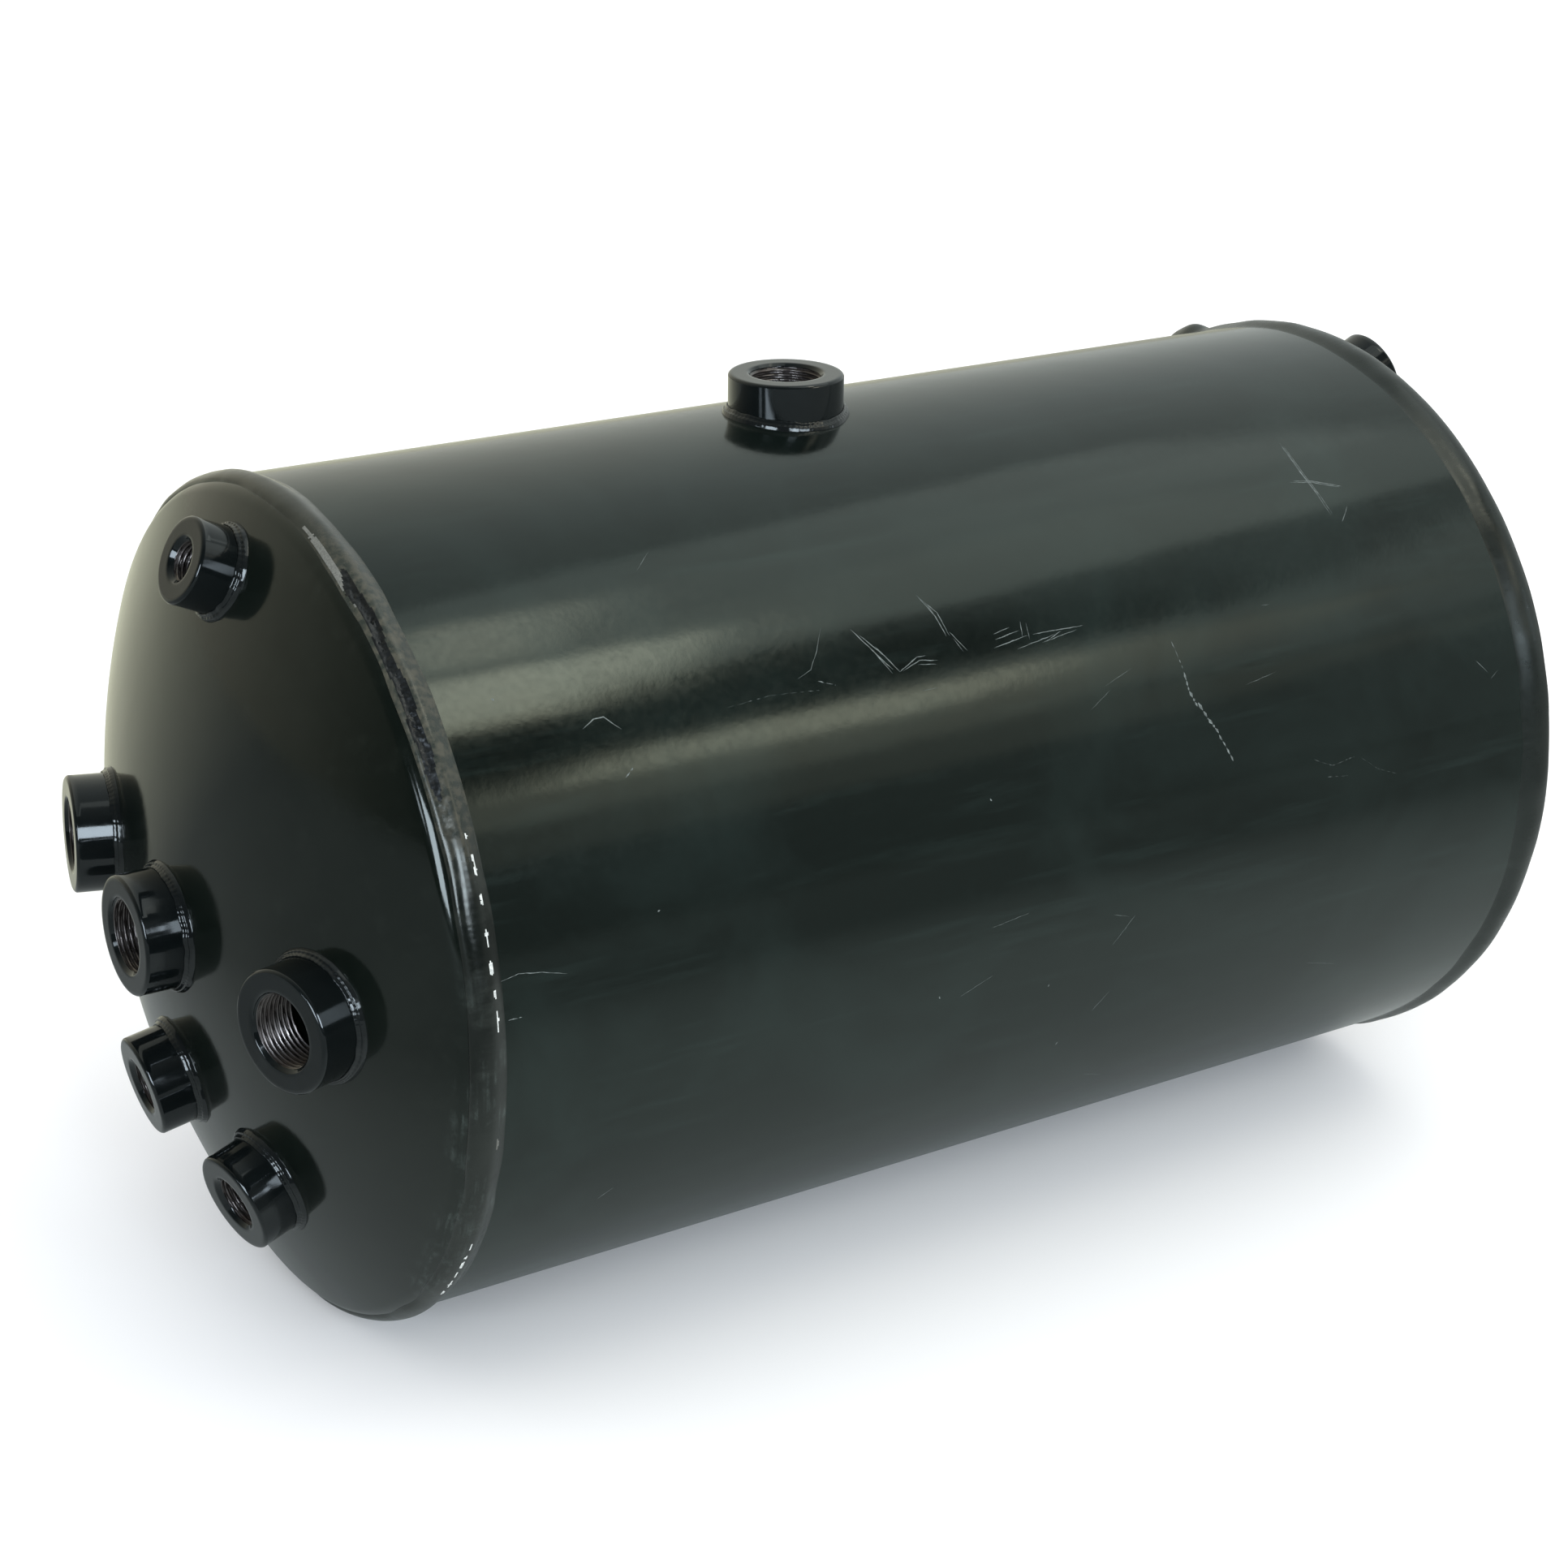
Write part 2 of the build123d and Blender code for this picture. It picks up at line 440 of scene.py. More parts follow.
# The near bead's paint carries the painted highlight on its upper front.
BEAD_PAINT = black_paint(
    "bead_black", base=(0.0032, 0.0045, 0.0038), dusty=(0.024, 0.028, 0.024),
    roughnesses=(0.14, 0.26), peel=0.03 * MM, haze=0.5, tint=(0.96, 1.0, 0.96), rubbed=True,
    painted_highlight=True,
)
FAR_BEAD_PAINT = black_paint(
    "far_bead_black", base=(0.0026, 0.0042, 0.0035), dusty=(0.016, 0.020, 0.018),
    roughnesses=(0.26, 0.36), peel=0.015 * MM, haze=0.4, tint=(0.92, 1.0, 0.96),
)
RING_PAINT = black_paint(
    "ring_black", base=(0.0035, 0.0045, 0.0048), dusty=(0.016, 0.018, 0.018),
    roughnesses=(0.08, 0.14), peel=0.03 * MM, haze=0.3, tint=(0.95, 1.0, 1.0),
)
# Spatter in the bead's groove: real spatter, its paint darker than the bead's as painted shade in the
# groove.
SPATTER_AND_SHADE_PAINT = black_paint(
    "spatter_and_shade_black", base=(0.0020, 0.0025, 0.0025), dusty=(0.012, 0.013, 0.012),
    roughnesses=(0.26, 0.50), peel=0.12 * MM, haze=0.5, tint=(0.9, 0.95, 1.0),
)
BOSS_PAINT = black_paint(
    "boss_black", base=(0.0022, 0.0032, 0.0034), dusty=(0.012, 0.015, 0.015),
    roughnesses=(0.07, 0.12), peel=0.006 * MM, haze=0.3, tint=(0.93, 0.98, 1.0),
)
THREAD = thread_metal()
BARE = worn_metal("bare_steel", (0.45, 0.48, 0.46), (0.78, 0.81, 0.79))
# Dull pale steel colour, for rubbed spots and for a painted highlight strip on the near bead.
DULL_STEEL_AND_HIGHLIGHT = worn_metal("dull_steel_and_highlight", (0.09, 0.094, 0.085), (0.17, 0.172, 0.155))
SCUFF = scuffed_paint()


# --- shell and heads --------------------------------------------------------------------------
def boss_places():
    """Each port in the record, by name: the boss's own frame, with its origin where the axis
    meets the tank's surface, its bore radius in mm, and whether it is on the shell."""
    places = {}
    for mount in frame["record"]["mounts"]:
        if not mount["name"].startswith("port_"):
            continue
        name = mount["name"].removeprefix("port_")
        bore = mount["dims"]["r_mm"]
        axis = Vector(mount["axis"]).normalized()
        is_on_shell = name.startswith("shell")
        # The mount's place is halfway down the bore, and its foot follows the surface, which
        # curves away one way on the shell and both ways on a head.
        sag = (bore * MM) ** 2 / (4 * RADIUS if is_on_shell else 2 * CROWN)
        seat = Vector(mount["pos_m"]) - axis * (mount["dims"]["length_mm"] * MM / 2 - sag)
        across = Vector((1, 0, 0)) if is_on_shell else Vector((0, 1, 0))
        side = axis.cross(across).normalized()
        turn = Matrix((side.cross(axis), side, axis)).transposed().to_4x4()
        places[name] = (Matrix.Translation(seat) @ turn, bore, is_on_shell)
    return places


PLACES = boss_places()


def hole_cutter(name):
    """Bar for the hole in the wall below a boss."""
    matrix, bore, _ = PLACES[name]
    radius = bore * MM + PILOT_CLEARANCE
    ends = (-4 * WALL, 4 * WALL)
    turn = np.linspace(0, tau, 96, endpoint=False)
    rings = placed(np.stack([ring_about_z(radius, height, turn) for height in ends]), matrix)
    poles = [matrix @ Vector((0, 0, height)) for height in ends]
    return finished(mesh_from_rings("cutter", rings, poles), "cutter", [])


def make_shell():
    """Rolled tube with the hole for its port."""
    stations = np.linspace(-HALF_SHELL, HALF_SHELL, 41)
    profile = [(x, RADIUS) for x in stations] + [(x, RADIUS - WALL) for x in stations[::-1]]
    mesh = mesh_from_rings("tank_shell", turned_rings(profile, segments=512))
    shell = finished(mesh, "tank_shell", [SHELL_PAINT])
    drill(shell, [hole_cutter("shell_top")])
    show(shell, "shell_paint", "shell")


def head_profile():
    """Section of a head at +X: outer surface from the apex to the edge, then back inside."""
    quarter = pi / 2
    knuckle = (KNUCKLE_START, KNUCKLE_CENTRE_R)
    crown = (CROWN_CENTRE, 0)
    first_ring = 0.004            # its angle from the axis, next to the apex
    outside = arc(crown, CROWN, first_ring, TANGENT_ANGLE, steps=44)
    outside += arc(knuckle, KNUCKLE, TANGENT_ANGLE, quarter, steps=22)[1:]
    inside = arc(knuckle, KNUCKLE - WALL, quarter, TANGENT_ANGLE, steps=10)
    inside += arc(crown, CROWN - WALL, TANGENT_ANGLE, first_ring, steps=30)[1:]
    return outside + [(HEAD_EDGE, RADIUS), (HEAD_EDGE, RADIUS - WALL)] + inside


def make_head(name, side, node, ports):
    """Dished end with the holes for its ports. Side is 1 at +X and -1 at -X."""
    profile = [(side * x, r) for x, r in head_profile()]
    apex = CROWN_CENTRE + CROWN
    poles = [(side * apex, 0, 0), (side * (apex - WALL), 0, 0)]
    mesh = mesh_from_rings(name, turned_rings(profile, segments=448), poles)
    head = finished(mesh, name, [HEAD_PAINT])
    drill(head, [hole_cutter(port) for port in ports])
    show(head, "head_paint", node)


# --- weld beads -------------------------------------------------------------------------------
def wandering(count, pitch, seed):
    """Smooth random numbers around a closed loop, with a knot about every pitch steps."""
    knots = max(4, round(count / pitch))
    values = np.random.default_rng(seed).uniform(-1, 1, knots)
    t = np.arange(count) * knots / count
    low = np.floor(t).astype(int)
    share = t - low
    share = share * share * (3 - 2 * share)
    return values[low % knots] * (1 - share) + values[(low + 1) % knots] * share


def girth_bead(
    name, side, node, seed, paint, height, flare, wear_and_highlight=(), groove_degrees=None, lump_degrees=None
):
    """Rippled bead round the joint of shell and head.

    It has fine ripples, a slower rise and fall, and a wandering width. Height is its crest's,
    above the shell. Flare is how far it reaches over the shell, in half widths. The list of
    spots holds places where the paint is rubbed through and strips where a highlight is painted.
    The groove is where the bead hasn't filled the joint on the head's side and black spatter lies
    in it; the spatter's paint is darker, as painted shade in the groove. The lump is where the
    bead starts and stops.
    """
    around = 2640
    across = 26
    turn = np.linspace(0, tau, around, endpoint=False)
    s = np.linspace(-1, 1, across)[:, None]        # -1 at the toe on the shell, 1 on the head
    ripples = round(RADIUS / BEAD_RIPPLE_PITCH * tau)
    ripple_phase = turn * ripples + 2.2 * s**2 + 2.6 * wandering(around, 17, seed)
    strength = 0.6 + 0.4 * wandering(around, 50, seed + 4)
    ripple = 0.012 * MM * strength * (0.5 + 0.5 * np.sin(ripple_phase)) * (1 - s**2) ** 0.5
    swell = 0.20 * MM * wandering(around, 31, seed + 1) * (1 - s**2)
    drop = HEAD_SIDE_DROP * ((s + 1) / 2) ** 3
    reach = BEAD_HALF_WIDTH * (1 + 0.07 * wandering(around, 40, seed + 2))
    reach = np.where(s < 0, flare, 1.0) * reach
    x = GIRTH_X + s * reach + 0.25 * MM * wandering(around, 120, seed + 3)
    steep = np.sqrt(np.clip(1 - np.abs(s) ** 2.2, 0, 1))
    gentle = np.cos(pi / 2 * s) ** 1.4
    body = (height + swell + ripple) * np.where(s > 0, steep, gentle)
    toes_sunk = 0.05 * MM
    radius = RADIUS - drop + body - toes_sunk
    if lump_degrees is not None:
        away = (np.degrees(turn) - lump_degrees + 180) % 360 - 180
        hump = np.exp(-((away / LUMP_HALF_ANGLE) ** 4))
        radius = radius + LUMP_HEIGHT * hump * (1 - s**2) ** 0.6
    pit = np.zeros((across, around))
    if groove_degrees is not None:
        start, end = groove_degrees
        angle = np.degrees(turn) + 1.5 * wandering(around, 12, seed + 5)
        share = np.clip((angle - start) / 8, 0, 1) * np.clip((end - angle) / 12, 0, 1)
        middle = 0.45 + 0.10 * wandering(around, 22, seed + 6)
        pit = share * np.exp(-(((s - middle) / 0.28) ** 2))
        drops = np.random.default_rng(seed + 7).uniform(-1, 1, (across, around))
        drops = (drops + np.roll(drops, 1, 1) + np.roll(drops, 2, 1) + np.roll(drops, 3, 1)) / 2
        radius = radius - pit * (0.85 + 0.22 * drops) * MM
    # Two rings below the surface close the bead: one in the head's wall, one in the shell's.
    root_half_width = 4.6 * MM
    x_under = GIRTH_X + np.array([[root_half_width], [-root_half_width]]) + 0 * turn
    r_under = RADIUS - np.array([[2.6 * MM], [1.4 * MM]]) + 0 * turn
    rings = rings_about_x(side * np.vstack([x, x_under]), np.vstack([radius, r_under]), turn)
    mesh = mesh_from_rings(name, rings)
    marks = wear_and_highlight_slots(around, across, wear_and_highlight, seed)
    # Spatter in the groove, its paint darker as painted shade.
    marks[:across][pit > 0.30] = SPATTER_AND_SHADE
    mesh.polygons.foreach_set("material_index", marks.reshape(-1))
    bead = finished(mesh, name, [paint, BARE, SPATTER_AND_SHADE_PAINT, DULL_STEEL_AND_HIGHLIGHT], sharp_angle=60)
    show(bead, "weld_paint", node)


def wear_and_highlight_slots(around, across, wear_and_highlight, seed):
    """Material slots of the bead's faces: 0 for paint, and those of the spots, rubbed paint and painted
    highlight.
    """
    marks = np.zeros((across + 2, around), int)
    edge = wandering(around, 3, seed + 9)
    raggedness = {BRIGHT_SPOT: 0.6, DULL_WEAR_AND_HIGHLIGHT_SPOT: 0.2}
    for start, end, centre, width, slot in wear_and_highlight:
        first, last = round(start / 360 * around), round(end / 360 * around)
        for column in range(first, last):
            share = (column - first) / max(1, last - first - 1)
            ragged = 1 + raggedness[slot] * edge[column]
            half = width * sqrt(max(0.0, 1 - (2 * share - 1) ** 2)) * ragged
            for row in range(across):
                place = -1 + 2 * (row + 0.5) / (across - 1)
                if abs(place - centre) * BEAD_HALF_WIDTH < half / 2:
                    marks[row, column] = slot
    return marks


def make_seam():
    """Low rippled bead along the shell, on its hidden side."""
    along = 1500
    across = 14
    under_girth_bead = 0.6 * MM
    half_length = HALF_SHELL - BEAD_HALF_WIDTH + under_girth_bead
    x = np.linspace(-half_length, half_length, along)[:, None]
    s = np.linspace(-1, 1, across)
    ripple = 0.08 * MM * (0.5 + 0.5 * np.sin(x / SEAM_RIPPLE_PITCH * tau + 2 * s**2))
    sway = 0.3 * MM * wandering(along, 60, 5)[:, None]
    rise = np.sqrt(np.clip(1 - np.abs(s) ** 2.4, 0, 1))
    toes_sunk = 0.08 * MM
    radius = RADIUS + (SEAM_HEIGHT + ripple) * rise - toes_sunk
    top = rings_about_x(x + 0 * s, radius, radians(SEAM_ANGLE) + (SEAM_HALF_WIDTH * s + sway) / RADIUS)
    root_half_width = 3.6 * MM
    foot = radians(SEAM_ANGLE) + np.array([root_half_width, -root_half_width]) / RADIUS
    base = rings_about_x(x + 0 * foot, RADIUS - 1 * MM + 0 * x, foot)
    rings = np.concatenate([top, base], axis=1)
    poles = [rings[0].mean(axis=0), rings[-1].mean(axis=0)]
    mesh = mesh_from_rings("seam_bead", rings, poles)
    seam = finished(mesh, "seam_bead", [BEAD_PAINT])
    show(seam, "weld_paint", "seam_weld")


# --- bosses -----------------------------------------------------------------------------------
def surface_height(radius, turn, is_on_shell):
    """Height of the tank's surface in a boss's frame, at a radius and angle from its axis."""
    if is_on_shell:
        return np.sqrt(RADIUS**2 - (radius * np.sin(turn)) ** 2) - RADIUS
    return np.sqrt(CROWN**2 - radius**2) - CROWN + 0 * turn


def thread_radius(height, turn, bore):
    """Radius of an internal thread: flats at the crests and roots, straight flanks."""
    phase = (height / THREAD_PITCH - turn / tau) % 1
    ramp = np.abs(phase * 2 - 1)
    return bore + THREAD_DEPTH * np.clip((ramp - 0.22) / 0.62, 0, 1)


def make_boss(name):
    """Turned boss: rounded edge, flat face, chamfered mouth, and a helical thread."""
    matrix, bore_mm, is_on_shell = PLACES[name]
    bore = bore_mm * MM
    outer, mouth = BOSS_SIZES[bore_mm]
    top = SHELL_BOSS_HEIGHT if is_on_shell else BOSS_HEIGHT
    turn = np.linspace(0, tau, 144, endpoint=False)
    rows = []
    slots = []

    def add(radius, height, slot=0):
        rows.append(ring_about_z(radius, height, turn))
        slots.append(slot)

    foot = surface_height(outer, turn, is_on_shell) - BOSS_SUNK
    for share in np.linspace(0, 1, 9):
        add(outer, foot + share * (top - EDGE_CHAMFER - foot))
    for share in np.linspace(0, 1, 7):
        bulge = EDGE_BULGE * sin(pi * share)
        add(outer - EDGE_CHAMFER * share + bulge, top - EDGE_CHAMFER * (1 - share) + bulge)
    face_edge = outer - EDGE_CHAMFER
    for share in np.linspace(0, 1, 7)[1:]:
        add(face_edge + share * (mouth + 0.1 * MM - face_edge), top)

    # Down the bore, bare metal from three quarters of the way down the mouth's chamfer.
    floor = surface_height(bore, turn, is_on_shell) - BOSS_SUNK
    bare_from = 0.75 * (mouth - bore)
    for share in np.linspace(0, 1, 92):
        height = top - 0.08 * MM + share * (floor - top)
        cone = mouth - (top - height)
        threaded = thread_radius(height, turn, bore)
        add(np.maximum(threaded, cone), height, slot=1 if share * top > bare_from else 0)
    mesh = mesh_from_rings(f"boss_{name}", placed(np.stack(rows), matrix), row_materials=slots)
    boss = finished(mesh, f"port_boss_{name}", [BOSS_PAINT, THREAD], sharp_angle=50)
    show(boss, "boss_paint", f"boss_{name}")


def make_ring(name, seed):
    """Rippled fillet weld round a boss's foot, with two low ridges."""
    matrix, bore_mm, is_on_shell = PLACES[name]
    outer = BOSS_SIZES[bore_mm][0]
    around = 900
    turn = np.linspace(0, tau, around, endpoint=False)
    s = np.linspace(0, 1, 15)[:, None]             # 0 at the boss, 1 at the toe
    phase = turn * outer / RING_RIPPLE_PITCH * tau + 3 * s + 1.3 * wandering(around, 25, seed)
    ripple = 0.07 * MM * (0.5 + 0.5 * np.sin(phase)) * np.sin(pi * s) ** 0.5
    reach = RING_LEG * (1 + 0.10 * wandering(around, 60, seed + 1))
    swell = 1 + 0.10 * wandering(around, 24, seed + 2)
    inner = outer - RING_OVERLAP
    radius = inner + (reach + RING_OVERLAP) * s
    ground = surface_height(outer + RING_LEG, turn, is_on_shell)
    ridges = 0.45 * MM * np.sin(2 * pi * s) ** 2
    body = RING_RISE * swell * (1 - s**1.5) ** 0.9
    toe_sunk = 0.12 * MM
    top = ring_about_z(radius, ground - toe_sunk + body + ridges + ripple, turn)
    low_out = ring_about_z(outer + 0.8 * RING_LEG, ground - RING_SUNK, turn)
    low_in = ring_about_z(inner, surface_height(outer, turn, is_on_shell) - RING_SUNK, turn)
    rings = np.concatenate([top, low_out[None], low_in[None]])
    mesh = mesh_from_rings(f"ring_{name}", placed(rings, matrix))
    ring = finished(mesh, f"weld_fillet_{name}", [RING_PAINT], sharp_angle=60)
    show(ring, "weld_paint", f"weld_ring_{name}")


# --- scratches on the shell -------------------------------------------------------------------
MM_PER_DEGREE = 2.15              # along the shell's surface


def on_shell(x_mm, degrees):
    """Point on the shell, from its X in mm and its angle from +Z towards -Y."""
    angle = radians(degrees)
    return Vector((x_mm * MM, -RADIUS * sin(angle), RADIUS * cos(angle)))


def surface_length(start, end):
    """Distance in mm between two places on the shell, given as (X in mm, degrees)."""
    return hypot(end[0] - start[0], (end[1] - start[1]) * MM_PER_DEGREE)


def between(start, end, share):
    """Place part of the way from one place on the shell to another."""
    return (start[0] + (end[0] - start[0]) * share, start[1] + (end[1] - start[1]) * share)


STEP_MM = 1.2                     # between the sections of a sliver
PROUD = 0.035 * MM                # how far a sliver stands above the shell's surface
SUNK = 0.05 * MM                  # and how far it goes below
WOBBLE = 0.08 * MM


class Scratches:
    """Gathers thin closed slivers that lie on the shell."""

    def __init__(self):
        self.points = []
        self.faces = []

    def sliver(self, path, width):
        """Closed lens-shaped sliver along a path of (X in mm, degrees), tapering at its ends."""
        dense = []
        for start, end in zip(path, path[1:]):
            steps = max(2, round(surface_length(start, end) / STEP_MM))
            dense += [between(start, end, step / steps) for step in range(steps)]
        dense.append(path[-1])
        count = len(dense)
        first = len(self.points)
        spots = [on_shell(*place) for place in dense]
        for index, spot in enumerate(spots):
            ahead = spots[min(index + 1, count - 1)] - spots[max(index - 1, 0)]
            out = Vector((0, spot.y, spot.z)).normalized()
            aside = ahead.cross(out).normalized()
            share = index / (count - 1)
            taper = max(0.12, sin(pi * share) ** 0.4)
            half = width * MM / 2 * taper * rng.uniform(0.6, 1.2)
            wobble = aside * rng.uniform(-WOBBLE, WOBBLE)
            for shift in (aside * half, out * PROUD, -aside * half, -out * SUNK):
                self.points.append(spot + wobble + shift)
        for ring in range(count - 1):
            for k in range(4):
                a = first + ring * 4 + k
                b = first + ring * 4 + (k + 1) % 4
                self.faces.append((a, b, b + 4, a + 4))
        self.faces.append(tuple(first + k for k in (3, 2, 1, 0)))
        last = first + (count - 1) * 4
        self.faces.append(tuple(last + k for k in range(4)))

    def broken(self, path, width, gap):
        """Line of short strokes with gaps along a path."""
        for start, end in zip(path, path[1:]):
            length = surface_length(start, end)
            share = 0.0
            while share < 1:
                stop = min(1.0, share + rng.uniform(0.8, 3.0) / length)
                stroke = [between(start, end, share), between(start, end, stop)]
                self.sliver(stroke, width * rng.uniform(0.6, 1.3))
                share = stop + rng.uniform(0.2, 1.0) * gap / length

    def bundle(self, path, count, spacing, width):
        """Parallel strokes along a path, spaced in mm, each with its own start and end."""
        length = surface_length(path[0], path[-1])
        along_x = (path[-1][0] - path[0][0]) / length
        along_turn = (path[-1][1] - path[0][1]) * MM_PER_DEGREE / length
        for number in range(count):
            aside = (number - (count - 1) / 2 + rng.uniform(-0.3, 0.3)) * spacing
            shift_x, shift_turn = -along_turn * aside, along_x * aside / MM_PER_DEGREE
            stroke = [(x_mm + shift_x, degrees + shift_turn) for x_mm, degrees in path]
            stroke[0] = between(stroke[0], stroke[1], rng.uniform(0.0, 0.4))
            stroke[-1] = between(stroke[-2], stroke[-1], rng.uniform(0.6, 1.0))
            self.sliver(stroke, width * rng.uniform(0.6, 1.2))

    def speck(self, x_mm, degrees, size):
        """Small chip, as a very short sliver."""
        tilt = rng.uniform(-0.4, 0.4)
        half = size / 2
        self.sliver([(x_mm - half, degrees - tilt), (x_mm + half, degrees + tilt)], size)

    def build(self):
        """Makes one object of all the slivers."""
        mesh = bpy.data.meshes.new("shell_scratches")
        mesh.from_pydata([tuple(p) for p in self.points], [], self.faces)
        made = finished(mesh, "shell_scratches", [SCUFF])
        show(made, "shell_paint")


def make_scratches():
    """Handling marks on the front of the shell, by X in mm and degrees from +Z towards -Y.
    Widths, gaps and spacings are in mm too."""
    marks = Scratches()
    marks.bundle([(125, 28), (125, 35), (127, 43)], 3, 0.4, 0.25)
    marks.bundle([(116, 36), (127, 37), (138, 39)], 2, 0.4, 0.25)
    marks.sliver([(134.5, 42), (129.5, 44.3)], 0.25)
    marks.sliver([(-55, 46), (-50, 50), (-46.5, 52.5)], 0.35)
    marks.sliver([(-53, 47), (-47.5, 50.5), (-44.5, 53)], 0.3)
    marks.sliver([(-51, 49), (-47, 53)], 0.25)
    marks.sliver([(-49.5, 49), (-45.5, 52)], 0.2)
    marks.sliver([(-44.5, 53), (-37.5, 51.5), (-34.5, 51.5)], 0.3)
    marks.sliver([(-43.5, 53), (-37, 52), (-31, 52.5)], 0.25)
    marks.sliver([(-38, 52.5), (-32, 53)], 0.2)
    marks.sliver([(-29.5, 43), (-26.5, 46.5), (-25.5, 49.5)], 0.3)
    marks.sliver([(-29, 43.5), (-25.5, 46), (-24.5, 49.5)], 0.25)
    marks.sliver([(-27.5, 44.5), (-26, 48)], 0.2)
    marks.sliver([(-24, 49), (-20.5, 52)], 0.2)
    marks.sliver([(-23.5, 50), (-22, 52)], 0.2)
    marks.sliver([(-10, 50.5), (-4, 50)], 0.2)
    marks.sliver([(-10, 51.3), (-1, 50.7)], 0.25)
    marks.sliver([(-11.5, 52.4), (1.3, 51.6)], 0.25)
    marks.sliver([(0.4, 49.5), (-0.7, 51.6)], 0.2)
    marks.sliver([(2.1, 49.9), (1.3, 52.2)], 0.2)
    marks.sliver([(-4, 53.2), (10.5, 52.2)], 0.25)
    marks.sliver([(3, 51.6), (21, 51.8)], 0.25)
    marks.sliver([(5, 53), (18.5, 52.2)], 0.2)
    marks.sliver([(6.5, 53), (13, 51.9)], 0.2)
    marks.broken([(49.7, 56.5), (51, 60.5)], 0.25, 1.4)
    marks.broken([(51, 61), (51.2, 63.7), (53, 66)], 0.85, 0.3)
    marks.broken([(53.5, 65.5), (56, 68), (59, 70.2)], 1.1, 0.3)
    marks.broken([(59, 70.5), (63, 74.5)], 0.85, 0.5)
    marks.sliver([(-145, 52), (-141, 51), (-138, 51), (-134, 53)], 0.3)
    marks.broken([(-71, 52), (-66, 53)], 0.5, 0.6)
    marks.broken([(-137, 59), (-134, 58)], 0.6, 0.5)
    marks.sliver([(-64, 45), (-68, 48), (-72, 50.3), (-77, 51.2)], 0.16)
    marks.broken([(-101, 53), (-87, 52.6), (-71.5, 53.2)], 0.12, 1.5)
    marks.sliver([(-184, 80), (-178, 79.5), (-171, 80), (-164, 81)], 0.22)
    marks.broken([(-182, 85), (-178, 85)], 0.3, 0.8)
    marks.broken([(94, 77), (101, 78.5), (110, 78)], 0.12, 1.2)
    marks.broken([(99, 80), (107, 80.5)], 0.12, 1.6)
    marks.broken([(113, 78.5), (119, 80.5), (127, 82)], 0.12, 1.4)
    marks.sliver([(164, 68.5), (168, 70.5)], 0.16)
    marks.sliver([(169, 71.5), (172.5, 70.5)], 0.12)
    for x_mm, degrees, size in (
        (-135, 76, 0.7), (-25, 72, 0.6), (-44, 98, 0.6), (-4, 101, 0.5), (6, 113, 0.5), (-167, 46, 0.7),
    ):
        marks.speck(x_mm, degrees, size)
    for _ in range(14):
        x_mm = rng.uniform(-170, 170)
        degrees = rng.uniform(20, 130)
        slope = rng.uniform(-4, 4)
        length = rng.uniform(3, 14)
        marks.sliver([(x_mm, degrees), (x_mm + length, degrees + slope)], 0.1)
    marks.build()


# --- the pieces -------------------------------------------------------------------------------
NEAR_PORTS = [name for name in PLACES if name.startswith("near_")]
FAR_PORTS = [name for name in PLACES if name.startswith("far_")]

# Spots on the near bead, rubbed paint and painted highlight: start and end in degrees from +Z
# towards -Y, place across the bead (-1 at its toe on the shell, 1 on the head), width and
# material. The dull strips from 13 to 50 degrees are a painted highlight.
WEAR_AND_HIGHLIGHT_SPOTS = [
    (13.0, 30.0, 0.76, 1.5 * MM, DULL_WEAR_AND_HIGHLIGHT_SPOT),
    (26.0, 50.0, 0.84, 0.3 * MM, DULL_WEAR_AND_HIGHLIGHT_SPOT),
    (61.0, 62.6, -0.35, 0.5 * MM, BRIGHT_SPOT),
    (64.0, 67.0, -0.45, 0.9 * MM, BRIGHT_SPOT),
    (68.6, 70.5, -0.45, 0.7 * MM, BRIGHT_SPOT),
    (73.0, 75.4, -0.40, 0.9 * MM, BRIGHT_SPOT),
    (76.8, 78.8, -0.40, 0.9 * MM, BRIGHT_SPOT),
    (80.4, 81.9, -0.45, 0.7 * MM, BRIGHT_SPOT),
    (82.8, 86.4, -0.50, 0.5 * MM, BRIGHT_SPOT),
    (100.5, 102.4, -0.50, 0.6 * MM, DULL_WEAR_AND_HIGHLIGHT_SPOT),
    (118.6, 120.3, -0.10, 0.7 * MM, BRIGHT_SPOT),
    (120.9, 122.4, -0.05, 0.5 * MM, BRIGHT_SPOT),
    (122.9, 124.8, -0.05, 0.7 * MM, BRIGHT_SPOT),
    (125.4, 127.2, 0.0, 0.5 * MM, BRIGHT_SPOT),
    (127.9, 130.4, 0.0, 0.6 * MM, BRIGHT_SPOT),
    (131.0, 133.0, 0.05, 0.4 * MM, BRIGHT_SPOT),
]

make_shell()
make_head("near_dished_head", -1, "near_head", NEAR_PORTS)
make_head("far_dished_head", 1, "far_head", FAR_PORTS)
girth_bead(
    "near_girth_bead", -1, "near_girth_weld", seed=21, paint=BEAD_PAINT, height=2.0 * MM, flare=1.1,
    wear_and_highlight=WEAR_AND_HIGHLIGHT_SPOTS, groove_degrees=(20, 62),
)
girth_bead(
    "far_girth_bead", 1, "far_girth_weld", seed=43, paint=FAR_BEAD_PAINT, height=1.55 * MM, flare=1.5,
    lump_degrees=-29.5,
)
make_seam()
for number, port in enumerate(PLACES):
    make_boss(port)
    make_ring(port, 70 + 5 * number)
make_scratches()


# --- camera, floor and lights -----------------------------------------------------------------
CAMERA_AZIMUTH = radians(-32.93)
CAMERA_ELEVATION = radians(21.70)
CAMERA_ROLL = radians(0.87)
CAMERA_DISTANCE = 0.9931
CAMERA_SHIFT_RIGHT = -0.0159
CAMERA_SHIFT_UP = -0.0022
LENS_MM = 71.24


